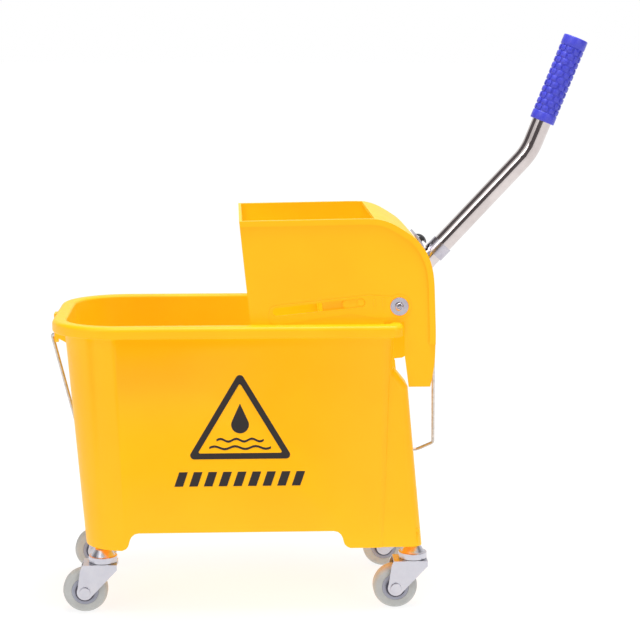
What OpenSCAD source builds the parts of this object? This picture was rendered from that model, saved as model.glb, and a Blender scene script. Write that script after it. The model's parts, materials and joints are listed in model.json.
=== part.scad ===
// Mop bucket with a down-press wringer. All lengths are in millimetres.
// X runs from the tub's front to the wringer's handle, Z is up and the floor is at z = 0.
// X positions inside the modules are counted from the tub's own middle; in_frame() then
// moves every sub-part so that the middle of the whole object is at x = 0.

/* [Tub] */
// Length over the rim
rim_length = 386.8; // [340:1:440]
// Width over the rim
rim_width = 264; // [230:1:300]
// Height of the rim's top face above the floor
rim_height = 330; // [300:1:370]
// Height of the rolled lip
rim_lip = 13; // [8:0.5:20]
// Distance from the rim's outer face to the side of the body below it
rim_overhang = 13; // [8:0.5:20]
// Wall thickness of the yellow mouldings
wall = 3; // [2:0.1:4]
// Height of the underside between the feet
belly_height = 95; // [85:1:110]
// Height of the feet's undersides
foot_height = 75; // [70:1:82]
// How far each side leans in from rim to foot
side_lean = 12; // [4:0.5:20]
// How far the front leans in from rim to foot
front_lean = 20.5; // [8:0.5:30]

/* [Casters] */
// Wheel diameter
wheel_dia = 50; // [40:1:56]
// Tread width
wheel_width = 20; // [14:0.5:24]
// Distance from the swivel axis back to the axle
trail = 20; // [14:0.5:24]
// Distance between the left and the right wheels
caster_track = 166; // [140:1:180]
// Distance from the rim's front end back to the front swivel axes
front_caster_inset = 53.3; // [48:0.1:64]
// Distance of the rear swivel axes behind the rim's rear end
rear_caster_reach = 15.5; // [7:0.5:16]
// Radius of the caster stem pressed into each foot
stem_r = 5; // [4:0.1:5.5]
// Radius of the swivel pin
kingpin_r = 4; // [3:0.1:4.5]
// Radius of the wheel axle
axle_r = 3; // [2.5:0.1:4]

/* [Bail] */
// Distance of the bail's pivot line below the rim
bail_pivot_below = 28; // [24:1:40]
// Radius of the bail wire
bail_wire_r = 2; // [1.5:0.1:3]
// Distance from the pivot line to the crossbar
bail_drop = 200; // [190:1:215]

/* [Wringer] */
// Distance over the two side plates
wringer_width = 206; // [180:1:212]
// Height of the hopper's top edge above the rim
hopper_rise = 113.8; // [100:0.2:126]
// Height of the handle's pivot above the rim
pivot_rise = 17; // [15:0.5:22]
// Distance of the handle's pivot in front of the rim's rear end
pivot_inset = 3.1; // [0:0.1:7]
// Radius of the pivot rod
pivot_rod_r = 4; // [3:0.1:5]
// Slope of the guide slots
slot_slope = 6; // [2:0.5:9]
// Height of a guide slot
slot_height = 9.5; // [8:0.1:12]
// Thickness of the press plate
press_thickness = 4; // [3:0.1:6]

/* [Drive] */
// Tooth module of the sectors, pinions and racks
tooth_module = 3; // [2.5:0.1:3]
// Teeth a full circle of the sector would have
sector_teeth = 33; // [30:1:33]
// Teeth on each pinion
pinion_teeth = 10; // [10:10:10]
// Angle the handle turns through when it is pressed
handle_travel = 65; // [45:1:65]
// Radius of the pins the pinions turn on
pinion_pin_r = 3; // [2.5:0.1:4]

/* [Handle] */
// Slope of the lower tube at rest
handle_slope = 46.8; // [40:0.2:55]
// Slope of the grip at rest
grip_slope = 68.2; // [60:0.2:80]
// Distance from the pivot to the bend, along the lower tube
handle_reach = 225.2; // [180:0.2:260]
// Distance from the bend to the end of the grip
upper_reach = 138.9; // [120:0.1:170]
// How far the tube's centre line passes below the pivot
handle_offset = 3.4; // [0:0.1:6]
// Outer radius of the tube
tube_r = 11; // [9:0.1:12]
// Tube wall
tube_wall = 1.6; // [1:0.1:2.5]
// Length of the grip
grip_length = 101; // [90:0.5:125]
// Outer radius of the grip, over its lugs
grip_r = 14.25; // [12.5:0.05:16]

/* [Fits] */
// Radial clearance of every shaft that turns in a hole
running = 0.05; // [0.02:0.01:0.1]
// Gap left beside parts that slide or turn past each other
side_gap = 0.5; // [0.3:0.05:1]
// Amount each gear tooth is thinned
tooth_thinning = 0.2; // [0.1:0.05:0.4]

/* [Hidden] */
$fn = 48;
rim_x0 = -rim_length / 2 - 10.4;
rim_x1 = rim_x0 + rim_length;
rim_hw = rim_width / 2;
// The wringer and the handle are drawn for a rim that ends at x = 183 and z = 330, and move with the real one
drawn_end = 183;
seat_z = 330;
front_shift = rim_x0 + 203.8;
rear_shift = rim_x1 - drawn_end;
front_x = rim_x0 + front_caster_inset;
rear_x = rim_x1 + rear_caster_reach;
pivot_x = drawn_end - pivot_inset;
pivot_height = seat_z + pivot_rise;
hopper_height = seat_z + hopper_rise;
bail_pivot_height = rim_height - bail_pivot_below;
body_top = rim_height - wall;
body_x0 = rim_x0 + rim_overhang;
body_x1 = rim_x1 - 9;
body_hw = rim_hw - rim_overhang;
lean_height = body_top - foot_height;
rear_lean = 7;
front_r = 62;
rear_r = 14;

buttress_top = rim_height - 55;
buttress_x1 = body_x1 + 33.5;
buttress_hw = body_hw - 13;
leg_in = 62;

stem_height = 20;
boss_r = 7;
fork_top = wheel_dia + 6.5;
race_r = 16;
fork_in = wheel_width / 2 + 2.5;
fork_plate = 2.5;
fork_out = fork_in + fork_plate;
axle_z = wheel_dia / 2;
hub_r = 15;
hub_hw = wheel_width / 2 + 1;

bail_x0 = rim_x0 - 6.2;
ear_x0 = rim_x0 - 2.7;
ear_plate = 4;
ear_r = 9;
lug_x1 = rim_x1 + 43;
bail_x1 = lug_x1 + 3;
bail_side = body_hw - side_lean * (body_top - bail_pivot_height + bail_drop * 0.826) / lean_height;
bail_lean = asin((bail_side + bail_wire_r + 0.7) / bail_drop);
bail_path = [[bail_x0 + 14, 0], [bail_x0, 0], [bail_x0 + 25.3, -bail_drop], [bail_x1 - 7, -bail_drop],
             [bail_x1 + 12, 12 - bail_drop], [bail_x1, 0], [bail_x1 - 14, 0]];
bail_bends = [3, 14, 10, 6, 3];

cheek_out = wringer_width / 2;
cheek_in = cheek_out - wall;
carriage_out = cheek_in - 1.5;
rack_in = cheek_in - 7;
sector_out = rack_in - 2;
sector_in = sector_out - 7;
pinion_out = cheek_in - 1;
pinion_in = sector_in;

pitch = PI * tooth_module;
sector_r = sector_teeth * tooth_module / 2;
pinion_r = pinion_teeth * tooth_module / 2;
addendum = 0.8 * tooth_module;
dedendum = 1.05 * tooth_module;
pressure = 25;
mesh_angle = slot_slope + 144;
pinion_centre = (sector_r + pinion_r) * [cos(mesh_angle), sin(mesh_angle)];
pinion_local = (sector_r + pinion_r) * [cos(144), sin(144)];
press_travel = sector_r * handle_travel * PI / 180;
slot_z = 8.9;
slot_front = -139;
shoe_rear = -36.7;
shoe_length = 25;
plate_front = -84;
torsion_r = 12;
neck_r = pivot_rod_r + 4.5;
coil_r = neck_r + 2.1;

bend_r = 70;
bend = grip_slope - handle_slope;
bend_tangent = bend_r * tan(bend / 2);
handle_dir = [cos(handle_slope), sin(handle_slope)];
handle_side = [-sin(handle_slope), cos(handle_slope)];
grip_dir = [cos(grip_slope), sin(grip_slope)];
pivot = [pivot_x, pivot_height];
vertex = pivot + handle_reach * handle_dir - handle_offset * handle_side;
grip_end = vertex + upper_reach * grip_dir;
grip_corner_x = grip_end[0] + grip_r * sin(grip_slope);

// Middle of the whole object, counted from the tub's middle
middle_x = (grip_corner_x + rear_shift + bail_x0 - bail_wire_r) / 2;

// Side view of the hood, from the hopper's top edge over the back and down the apron
drop = hopper_height - 443.8;
hood_knots = [[136, 443.8 + drop], [152.5, 443.6 + drop], [163.4, 441.5 + drop], [174.3, 437 + drop * 0.9],
              [185.3, 430.4 + drop * 0.8], [194.6, 424 + drop * 0.7], [202.4, 416.4 + drop * 0.5],
              [209.2, 406.8], [213.8, 396.2], [216.6, 385], [218.2, 370.8], [219.2, 345], [220.2, 315],
              [219.6, 286], [217.4, 270.5], [214.8, 257]];

function lerp(a, b, t) = a + (b - a) * t;
function catmull(a, b, c, d, t) =
    0.5 * (2 * b + (c - a) * t + (2 * a - 5 * b + 4 * c - d) * t * t + (3 * b - 3 * c + d - a) * t * t * t);
function smooth_path(p, n) = [for (i = [0:len(p) - 2]) for (j = [0:n - 1])
    catmull(p[max(i - 1, 0)], p[i], p[i + 1], p[min(i + 2, len(p) - 1)], j / n), p[len(p) - 1]];
function inset(p, d) = [for (i = [0:len(p) - 1])
    let (t = p[min(i + 1, len(p) - 1)] - p[max(i - 1, 0)]) p[i] + d * [t[1], -t[0]] / norm(t)];
function backwards(p) = [for (i = [len(p) - 1:-1:0]) p[i]];
function between(p, lo, hi) = [for (q = p) if (q[1] >= lo && q[1] <= hi) q];
hood = smooth_path(hood_knots, 3);
// The hopper is open above, up to this point along the hood
roof = [for (q = hood) if (q[0] > 151) q];

// Points on the arc that rounds corner b of a line from a to c, each with the line's direction there
function turn(a, b, c) = let (t = atan2(c[1] - b[1], c[0] - b[0]) - atan2(b[1] - a[1], b[0] - a[0]))
    t > 180 ? t - 360 : t < -180 ? t + 360 : t;
function bend_points(a, b, c, r, n) = let (u = (b - a) / norm(b - a), t = turn(a, b, c), s = sign(t),
    centre = b - u * r * tan(abs(t) / 2) + s * r * [-u[1], u[0]], a0 = atan2(u[1], u[0]))
    [for (i = [0:n]) let (d = a0 + t * i / n) [centre + s * r * [sin(d), -cos(d)], d]];

// Involute helpers, angles in degrees
function inv(a) = tan(a) * 180 / PI - a;
function half_angle(n, r) = let (rp = n * tooth_module / 2)
    90 / n - tooth_thinning / 2 / rp * 180 / PI + inv(pressure) - inv(acos(min(1, rp * cos(pressure) / r)));
function flank(n, side) = let (rp = n * tooth_module / 2, rb = rp * cos(pressure),
    r0 = max(rb, rp - dedendum), r1 = rp + addendum, root = rp - dedendum - 0.4)
    concat([root * [cos(side * half_angle(n, r0)), sin(side * half_angle(n, r0))]],
        [for (i = [0:7]) let (r = lerp(r0, r1, i / 7), a = side * half_angle(n, r)) r * [cos(a), sin(a)]]);

/* ---- helpers ---- */
module in_frame() translate([-middle_x, 0, 0]) children();
module on_rim() translate([rear_shift - middle_x, 0, rim_height - seat_z]) children();

// A side-view outline (x, z) made into a plate from y0 to y1
module side_plate(y0, y1) translate([0, y1, 0]) rotate([90, 0, 0]) linear_extrude(y1 - y0) children();

// The same plate on both sides of the middle
module both_sides(y0, y1) {
    side_plate(y0, y1) children();
    side_plate(-y1, -y0) children();
}

// Round bar from a to b
module rod(a, b, r) {
    d = b - a;
    translate(a) rotate([0, acos(d[2] / norm(d)), atan2(d[1], d[0])]) cylinder(h = norm(d), r = r);
}

// Tube of radius r along a path of [[x, z], direction], with both ends moved out by beyond
module sweep(path, r, sides, beyond = 0) {
    n = len(path);
    rings = [for (i = [0:n - 1]) let (a = path[i][1],
            c = path[i][0] + (i == 0 ? -beyond : i == n - 1 ? beyond : 0) * [cos(a), sin(a)])
        for (j = [0:sides - 1]) let (t = 360 * j / sides)
            [c[0] - r * cos(t) * sin(a), r * sin(t), c[1] + r * cos(t) * cos(a)]];
    polyhedron(rings, concat(
        [[for (j = [sides - 1:-1:0]) j], [for (j = [0:sides - 1]) (n - 1) * sides + j]],
        [for (i = [0:n - 2]) for (j = [0:sides - 1]) let (k = (j + 1) % sides)
            [i * sides + j, i * sides + k, (i + 1) * sides + k, (i + 1) * sides + j]]));
}

// Cylinder along Y at (x, z)
module cross_rod(x, z, y0, y1, r) translate([x, y1, z]) rotate([90, 0, 0]) cylinder(h = y1 - y0, r = r);

// Cylinder along X at (y, z)
module long_rod(y, z, x0, x1, r) translate([x0, y, z]) rotate([0, 90, 0]) cylinder(h = x1 - x0, r = r);

// Rectangle with its own corner radius at each end, seen from above
module plan(x0, x1, hw, rf, rr) {
    for (s = [-1, 1]) {
        translate([x0 + rf, s * (hw - rf)]) circle(rf);
        translate([x1 - rr, s * (hw - rr)]) circle(rr);
    }
    translate([x0 + rf, -hw]) square([x1 - rr - x0 - rf, 2 * hw]);
    translate([x0, rf - hw]) square([rf + 1, 2 * (hw - rf)]);
    translate([x1 - rr - 1, rr - hw]) square([rr + 1, 2 * (hw - rr)]);
}

// One level of the tub's body, drawn in by the given amount
module body_slice(z, inward) {
    t = (body_top - z) / lean_height;
    translate([0, 0, z]) linear_extrude(0.2)
        plan(body_x0 + front_lean * t + inward, body_x1 - rear_lean * t - inward,
             body_hw - side_lean * t - inward, front_r - 16 * t - inward, rear_r - 4 * t - inward);
}

module body_shape(z0, z1, inward) hull() {
    body_slice(z0, inward);
    body_slice(z1 - 0.2, inward);
}

module buttress_slice(z, x0, x1, hw) translate([0, 0, z]) linear_extrude(0.2) plan(x0, x1, hw, 2, 12);

// Moves a drawing into the guide slot's sloping axes, with the pivot as their origin
module slot_axes() translate([pivot_x, 0, pivot_height]) rotate([0, -slot_slope, 0]) children();

module round_slot(x0, x1, z, h) {
    translate([x0 + h / 2, z]) circle(h / 2);
    translate([x1 - h / 2, z]) circle(h / 2);
    translate([x0 + h / 2, z - h / 2]) square([x1 - x0 - h, h]);
}

module tooth(n) polygon(concat(flank(n, -1), backwards(flank(n, 1))));

/* ---- tub and bail ---- */
module tub() in_frame() color("gold") difference() {
    union() {
        difference() {
            union() {
                body_shape(foot_height, body_top + 0.2, 0);
                leg_sides(leg_in) hull() {
                    buttress_slice(foot_height, body_x1 - 24, buttress_x1, buttress_hw - 1);
                    buttress_slice(buttress_top - 18, body_x1 - 24, buttress_x1 - 17.5, buttress_hw + 5);
                    buttress_slice(buttress_top - 0.2, body_x1 - 24, body_x1 + 1.5, buttress_hw + 6);
                }
                difference() {
                    translate([0, 0, rim_height - rim_lip]) linear_extrude(rim_lip)
                        plan(rim_x0, rim_x1, rim_hw, front_r + rim_overhang, 12);
                    translate([0, 0, rim_height - rim_lip - 1]) linear_extrude(rim_lip + 1 - wall)
                        plan(rim_x0 + wall, rim_x1 - wall, rim_hw - wall, front_r + rim_overhang - wall, 9);
                }
                ears();
            }
            body_shape(belly_height + wall, rim_height + 1, wall);
            leg_sides(leg_in + wall) hull() {
                buttress_slice(foot_height - 1, body_x1 - 5, buttress_x1 - wall, buttress_hw - 1 - wall);
                buttress_slice(buttress_top - 22, body_x1 - 0.4, buttress_x1 - 17 - wall, buttress_hw + 4 - wall);
            }
            side_plate(-rim_hw, rim_hw) polygon(concat(notch_side(front_shift - 109, -1),
                backwards(notch_side(rear_shift + 108, 1))));
            translate([-rim_length, -54, foot_height - 1])
                cube([2 * rim_length, 108, belly_height - foot_height + 1]);
            foot_pockets();
        }
        for (s = [-1, 1]) {
            for (x = [front_x, rear_x])
                translate([x, s * caster_track / 2, foot_height])
                    cylinder(h = belly_height - foot_height, r = boss_r);
            translate([body_x1 - 8, s * (caster_track / 2 + 1) - 20, belly_height - wall])
                cube([buttress_x1 - body_x1 + 4, 40, wall]);
        }
    }
    for (s = [-1, 1]) for (x = [front_x, rear_x])
        translate([x, s * caster_track / 2, foot_height - 1]) cylinder(h = stem_height - 1, r = stem_r);
    long_rod(0, bail_pivot_height, ear_x0 - 1, ear_x0 + ear_plate + 1, bail_wire_r + running);
    long_rod(0, bail_pivot_height, lug_x1 - ear_plate - 1, lug_x1 + 1, bail_wire_r + running);
}

// Keeps only what lies further out than y on each side
module leg_sides(y) intersection() {
    children();
    for (s = [-1, 1]) translate([body_x1 - 74, s > 0 ? y : -200, foot_height - 2]) cube([140, 200 - y, rim_height]);
}

// Lugs at each end that carry the bail
module ears() {
    long_rod(0, bail_pivot_height, ear_x0, ear_x0 + ear_plate, ear_r);
    translate([ear_x0, -ear_r, bail_pivot_height]) cube([ear_plate, 2 * ear_r, rim_height - wall - bail_pivot_height]);
    long_rod(0, bail_pivot_height, lug_x1 - ear_plate, lug_x1, ear_r);
    for (y = [-ear_r, ear_r - 3]) {
        side_plate(y, y + 3) polygon([[ear_x0 + ear_plate - 0.5, bail_pivot_height - 3], [body_x0 + 4, bail_pivot_height - 12],
            [body_x0 + 4, rim_height - wall], [ear_x0 + ear_plate - 0.5, rim_height - wall]]);
        side_plate(y, y + 3) polygon([[body_x1 - 2, bail_pivot_height - 31],
            [body_x1 + 18, bail_pivot_height - 29], [lug_x1, bail_pivot_height - 8], [lug_x1, bail_pivot_height + 7],
            [lug_x1 - 6, bail_pivot_height + 10], [body_x1 - 2, bail_pivot_height + 10]]);
    }
}

// One end of the gap between the feet: a fillet above and a rounded foot below
function notch_side(x, s) = [for (q = [[0, 0], [4.5, 1.1], [8, 4.2], [10, 8.5]]) [x + s * q[0], belly_height - q[1]],
    for (q = [[10.8, 8], [12, 4.6], [14.5, 1.8], [18, 0.2], [21, -1]]) [x + s * q[0], foot_height + q[1]]];

module foot_pockets() translate([0, 0, foot_height - 1]) linear_extrude(belly_height - foot_height + 1 - wall)
    intersection() {
        plan(body_x0 + front_lean + 0.6, body_x1 - rear_lean - wall, body_hw - side_lean - wall - 0.4, 42, 6);
        for (s = [-1, 1]) for (x = [front_shift - 214, rear_shift + 134])
            translate([x, s * (caster_track / 2 - 1) - 25]) square([80, 50]);
    }

// Centre line of the wire in its own plane, with rounded corners
bail_line = concat([[bail_path[0], 180]],
    [for (i = [1:len(bail_path) - 2]) each bend_points(bail_path[i - 1], bail_path[i], bail_path[i + 1],
        bail_bends[i - 1], 5)], [[bail_path[len(bail_path) - 1], 180]]);

module bail() in_frame() color("silver") translate([0, 0, bail_pivot_height]) rotate([bail_lean, 0, 0])
    sweep(bail_line, bail_wire_r, 20);

/* ---- casters ---- */
module at_caster(end, side) in_frame()
    translate([end < 0 ? front_x : rear_x, side * caster_track / 2, 0]) children();

module caster_stem(end, side) at_caster(end, side) color("silver") {
    translate([0, 0, fork_top + side_gap]) cylinder(h = foot_height - 11.5 - fork_top, r = race_r);
    translate([0, 0, foot_height - 11.6]) cylinder(h = 8.6, r1 = race_r - 2, r2 = stem_r + 3.5);
    translate([0, 0, foot_height - 12]) cylinder(h = stem_height + 10, r = stem_r);
    translate([0, 0, fork_top - 5]) cylinder(h = 10, r = kingpin_r);
    translate([0, 0, fork_top - 6]) cylinder(h = 2.4, r = kingpin_r + 2);
}

module caster_fork(end, side) at_caster(end, side) color("gainsboro") difference() {
    union() {
        translate([0, 0, fork_top - 3]) cylinder(h = 3, r = race_r);
        translate([-22, -fork_out, fork_top - 3]) cube([38, 2 * fork_out, 2.5]);
        both_sides(fork_in, fork_out) {
            polygon([[-trail - 5, wheel_dia], [-trail - 2, fork_top - 0.5], [race_r, fork_top - 0.5],
                [race_r, wheel_dia], [-trail + 7.6, axle_z - 4.8], [-trail - 8.9, axle_z - 1.4]]);
            translate([-trail, axle_z]) circle(9);
        }
    }
    translate([0, 0, fork_top - 8]) cylinder(h = 10, r = kingpin_r + running);
    cross_rod(-trail, axle_z, -fork_out - 1, fork_out + 1, axle_r);
}

module caster_axle(end, side) at_caster(end, side) color("silver") {
    cross_rod(-trail, axle_z, -fork_out - 0.2, fork_out + 0.2, axle_r);
    cross_rod(-trail, axle_z, -fork_out - 2, -fork_out, 6);
    cross_rod(-trail, axle_z, fork_out, fork_out + 2, 6);
}

module caster_guard(end, side) at_caster(end, side) color("dimgray") for (s = [-1, 1])
    difference() {
        cross_rod(-trail, axle_z, s > 0 ? fork_in - 1 : -fork_in, s > 0 ? fork_in : 1 - fork_in, 11);
        cross_rod(-trail, axle_z, -fork_out, fork_out, axle_r);
    }

module caster_hub(end, side) at_caster(end, side) color("lightsteelblue") difference() {
    union() {
        cross_rod(-trail, axle_z, -hub_hw, hub_hw, 10);
        cross_rod(-trail, axle_z, 1 - hub_hw, hub_hw - 1, hub_r);
    }
    cross_rod(-trail, axle_z, -hub_hw - 1, hub_hw + 1, axle_r + running);
}

module caster_tyre(end, side) at_caster(end, side) color("darkgray") translate([-trail, 0, axle_z])
    rotate([90, 0, 0]) rotate_extrude() polygon([[hub_r, 1 - hub_hw], [19.5, 1 - hub_hw],
        [axle_z - 3, -wheel_width / 2 + 0.5], [axle_z - 0.9, -wheel_width / 2 + 2.6], [axle_z, -4],
        [axle_z, 4], [axle_z - 0.9, wheel_width / 2 - 2.6], [axle_z - 3, wheel_width / 2 - 0.5],
        [19.5, hub_hw - 1], [hub_r, hub_hw - 1]]);

/* ---- wringer housing ---- */
module cheek_outline() polygon(concat([[4.6, hopper_height - 2]], hood,
    [[191, 257], [186.6, 290], [185.6, seat_z], [163, seat_z], [163, 238], [27, 238],
     [17, 324.6], [11.8, 372]]));

module wringer_housing() on_rim() color("gold") {
    difference() {
        union() {
            both_sides(cheek_in, cheek_out) cheek_outline();
            // Hood and rear apron
            side_plate(-cheek_in, cheek_in) polygon(concat(roof, backwards(inset(roof, wall))));
            // Front wall, floor, inner back wall and the saddle over the rim
            side_plate(-cheek_in, cheek_in) polygon([[4.6, hopper_height - 2], [11.8, 372], [17, 324.6], [27, 238],
                [30.2, 238], [20.2, 324.6], [15, 372], [7.8, hopper_height - 2]]);
            side_plate(-cheek_in, cheek_in) polygon([[27, 238], [163, 238], [163, seat_z], [185.6, seat_z],
                [185.6, seat_z + wall], [160, seat_z + wall], [160, 241], [27, 241]]);
            // Bead along the top edge
            both_sides(cheek_out - 1, cheek_out + 3) polygon(concat([[4.6, hopper_height - 2]], hood_bead(0),
                backwards(hood_bead(6.5)), [[5.3, hopper_height - 8.5]]));
            // Raised surround of the guide slots, and two short ribs beside each bolt
            slot_axes() both_sides(cheek_out - 1, cheek_out + 1) slot_surround();
            slot_axes() both_sides(cheek_out - 1, cheek_out + 1.8) for (x = [-28, -18]) translate([x, 2]) square([2.2, 9]);
        }
        slot_axes() side_plate(-cheek_out - 5, cheek_out + 5)
            round_slot(slot_front, shoe_rear, slot_z, slot_height);
        cross_rod(pivot_x, pivot_height, -cheek_out - 1, cheek_out + 1, pivot_rod_r);
        for (s = [-1, 1]) translate([pivot_x + pinion_centre[0], s * (cheek_in - 0.5), pivot_height + pinion_centre[1]])
            rotate([s > 0 ? -90 : 90, 0, 0]) cylinder(h = 2, r = pinion_pin_r);
        // The handle's way through the hood
        side_plate(-14, 14) polygon([
            pivot + 45 * handle_dir + (tube_r - handle_offset + 3) * handle_side,
            pivot + 110 * handle_dir + (tube_r - handle_offset + 3) * handle_side,
            [290, 314], [205, 314]]);
        // The rear lug's way through the apron
        translate([184, -14, 240]) cube([60, 28, 75]);
        strainer_holes();
    }
}

// Follows the slot above and dips below it, then rings the bolt
module slot_surround() difference() {
    union() {
        polygon([[slot_front - 4.5, slot_z - 3], [slot_front - 3.8, slot_z - 10], [slot_front - 1, slot_z - 12.9],
            [slot_front + 3.2, slot_z - 14], [-110.4, slot_z - 13.6], [-82.7, slot_z - 12.1], [-55, slot_z - 11.4],
            [-41.7, slot_z - 14.3], [-28, slot_z - 18.3], [-11.6, -11.2], [0, -13], [8, 0], [-6, 11.5], [-20, slot_z + 5],
            [-32, slot_z + slot_height / 2 + 2.4], [slot_front + 3, slot_z + slot_height / 2 + 2.4],
            [slot_front - 2, slot_z + slot_height / 2]]);
        circle(pivot_rod_r + 9);
    }
    circle(pivot_rod_r + 6.6);
}

function hood_bead(d) = let (p = [for (q = hood) if (q[1] > 300) q]) d == 0 ? p : inset(p, d);

// Drain holes in the front wall and the floor
module strainer_holes() {
    for (i = [0:4]) for (j = [-3:3]) long_rod(j * 25, 262 + i * 26, 0, 34, 4);
    for (i = [0:4]) for (j = [-3:3]) translate([48 + i * 23, j * 25, 230]) cylinder(h = 20, r = 4);
}

/* ---- drive ---- */
module press_plate() on_rim() color("gold") slot_axes() {
    difference() {
        union() {
            side_plate(-carriage_out, carriage_out) translate([plate_front, -86]) square([press_thickness, 150]);
            both_sides(rack_in, carriage_out) {
                translate([plate_front + 1, slot_z - 6]) square([shoe_rear - plate_front - 1, 12]);
                rack_outline();
            }
            for (y = [-60, -20, 20, 60]) side_plate(y - 1.5, y + 1.5)
                polygon([[plate_front + 1, -80], [plate_front + 12, -40], [plate_front + 12, 30], [plate_front + 1, 60]]);
        }
        for (i = [0:4]) for (j = [-3:3]) long_rod(j * 20 + (j < 0 ? -0.01 : 0.01), -64 + i * 24, plate_front - 1,
            plate_front + press_thickness + 1, 3.5);
    }
}

module rack_outline() {
    z = pinion_local[1] + pinion_r;
    translate([plate_front + 1, z + dedendum]) square([14 - plate_front - 1, 7]);
    w = pitch / 4 - tooth_thinning / 2;
    for (k = [-1:6]) translate([pinion_local[0] + (k + 0.5) * pitch, z])
        polygon([[-w - dedendum * tan(pressure), dedendum + 0.2], [-w + addendum * tan(pressure), -addendum],
            [w - addendum * tan(pressure), -addendum], [w + dedendum * tan(pressure), dedendum + 0.2]]);
}

module shoe(side) on_rim() color("goldenrod") slot_axes() {
    side_plate(side > 0 ? carriage_out : -cheek_out, side > 0 ? cheek_out : -carriage_out)
        round_slot(shoe_rear - shoe_length + 0.1, shoe_rear - 0.1, slot_z, slot_height - 0.2);
    // Round button moulded on the shoe's rear end
    cross_rod(shoe_rear - 5, slot_z, side > 0 ? cheek_out - 1 : -cheek_out - 1.2, side > 0 ? cheek_out + 1.2 : 1 - cheek_out, 4);
}

module pinion(side) on_rim() color("white") translate([pivot_x, 0, pivot_height])
    side_plate(side > 0 ? pinion_in : -pinion_out, side > 0 ? pinion_out : -pinion_in)
        translate(pinion_centre) difference() {
            union() {
                circle(pinion_r - dedendum);
                for (k = [0:pinion_teeth - 1]) rotate(mesh_angle + 180 + (k + 0.5) * 360 / pinion_teeth)
                    tooth(pinion_teeth);
            }
            circle(pinion_pin_r + running);
        }

module pinion_pin(side) on_rim() color("silver")
    translate([pivot_x + pinion_centre[0], 0, pivot_height + pinion_centre[1]]) {
        cross_rod(0, 0, side > 0 ? pinion_in - 2 : -cheek_in - 1.5, side > 0 ? cheek_in + 1.5 : 2 - pinion_in, pinion_pin_r);
        cross_rod(0, 0, side > 0 ? pinion_in - 2 : 0.5 - pinion_in, side > 0 ? pinion_in - 0.5 : 2 - pinion_in,
            pinion_pin_r + 3);
    }

module sector_outline() {
    root = sector_r - dedendum;
    step = 360 / sector_teeth;
    intersection() {
        difference() {
            circle(root, $fn = 96);
            circle(root - 7, $fn = 96);
        }
        polygon([[0, 0], 90 * [cos(mesh_angle - 14), sin(mesh_angle - 14)],
            90 * [cos(mesh_angle + 34), sin(mesh_angle + 34)], 90 * [cos(mesh_angle + 80), sin(mesh_angle + 80)]]);
    }
    intersection() {
        circle(root - 6.8, $fn = 96);
        polygon([[0, 0], 90 * [cos(mesh_angle - 14), sin(mesh_angle - 14)], 90 * [cos(mesh_angle + 20), sin(mesh_angle + 20)],
            90 * [cos(mesh_angle + 56), sin(mesh_angle + 56)]]);
    }
    circle(torsion_r);
    for (k = [-1:7]) rotate(mesh_angle + k * step) tooth(sector_teeth);
}

module handle_yoke() on_rim() color("dimgray") translate([pivot_x, 0, pivot_height]) difference() {
    union() {
        cross_rod(0, 0, -sector_out, 30, torsion_r);
        cross_rod(0, 0, 29, 50, neck_r);
        cross_rod(0, 0, 49, sector_out, torsion_r);
        both_sides(sector_in, sector_out) sector_outline();
        along_handle() difference() {
            cylinder(h = 31, r = tube_r + 2.2);
            // Clears the saddle over the rim when the handle is down
            translate([7.5, -20, -1]) cube([20, 40, 14]);
        }
    }
    along_handle() translate([0, 0, torsion_r]) cylinder(h = 40, r = tube_r);
    cross_rod(0, 0, -sector_out - 1, sector_out + 1, pivot_rod_r + running);
}

// Z along the lower tube, starting beside the pivot
module along_handle() translate(-handle_offset * [handle_side[0], 0, handle_side[1]])
    rotate([0, 90 - handle_slope, 0]) children();

module pivot_rod() on_rim() color("silver") {
    cross_rod(pivot_x, pivot_height, -cheek_out - 1.5, cheek_out + 8, pivot_rod_r);
    cross_rod(pivot_x, pivot_height, -cheek_out - 4.5, -cheek_out - 1.5, pivot_rod_r + 0.8);
}

module pivot_washer(side) on_rim() color("lightgray") difference() {
    cross_rod(pivot_x, pivot_height, side > 0 ? cheek_out : -cheek_out - 1.5, side > 0 ? cheek_out + 1.5 : -cheek_out,
        pivot_rod_r + 6);
    cross_rod(pivot_x, pivot_height, -cheek_out - 5, cheek_out + 5, pivot_rod_r);
}

module pivot_nut() on_rim() color("silver") side_plate(cheek_out + 1.5, cheek_out + 7.5)
    translate(pivot) difference() {
        circle(pivot_rod_r + 3.5, $fn = 6);
        circle(pivot_rod_r);
    }

// Outline of six turns of 3 mm wire lying side by side
function coil_point(k, side) = let (y = k * 0.7, d = y - 2.8 * round(y / 2.8))
    [coil_r + side * sqrt(2.25 - d * d), y];

module return_spring() on_rim() color("slategray") translate([pivot_x, 0, pivot_height]) {
    translate([0, 48, 0]) rotate([90, 0, 0]) rotate_extrude() polygon(concat(
        [for (k = [0:24]) coil_point(k, 1)], [for (k = [24:-1:0]) coil_point(k, -1)]));
    for (y = [34.8, 47.2])
        rod([-coil_r - 0.2, y, 0.6], [-coil_r - 0.2, y, wall + 0.1 - pivot_rise], 1.1);
}

/* ---- handle ---- */
// Centre line of the bent tube in side view, and the slope at each of its points
tube_path = concat([[pivot + torsion_r * handle_dir - handle_offset * handle_side, handle_slope]],
    bend_points(pivot - handle_offset * handle_side, vertex, grip_end, bend_r, 8), [[grip_end - 4 * grip_dir, grip_slope]]);

module tube_shape(r, sides, beyond) sweep(tube_path, r, sides, beyond);

module handle_tube() on_rim() color("silver") difference() {
    tube_shape(tube_r, 40, 0);
    tube_shape(tube_r - tube_wall, 32, 1);
}

saddle = between(hood, 384, 419);

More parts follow.
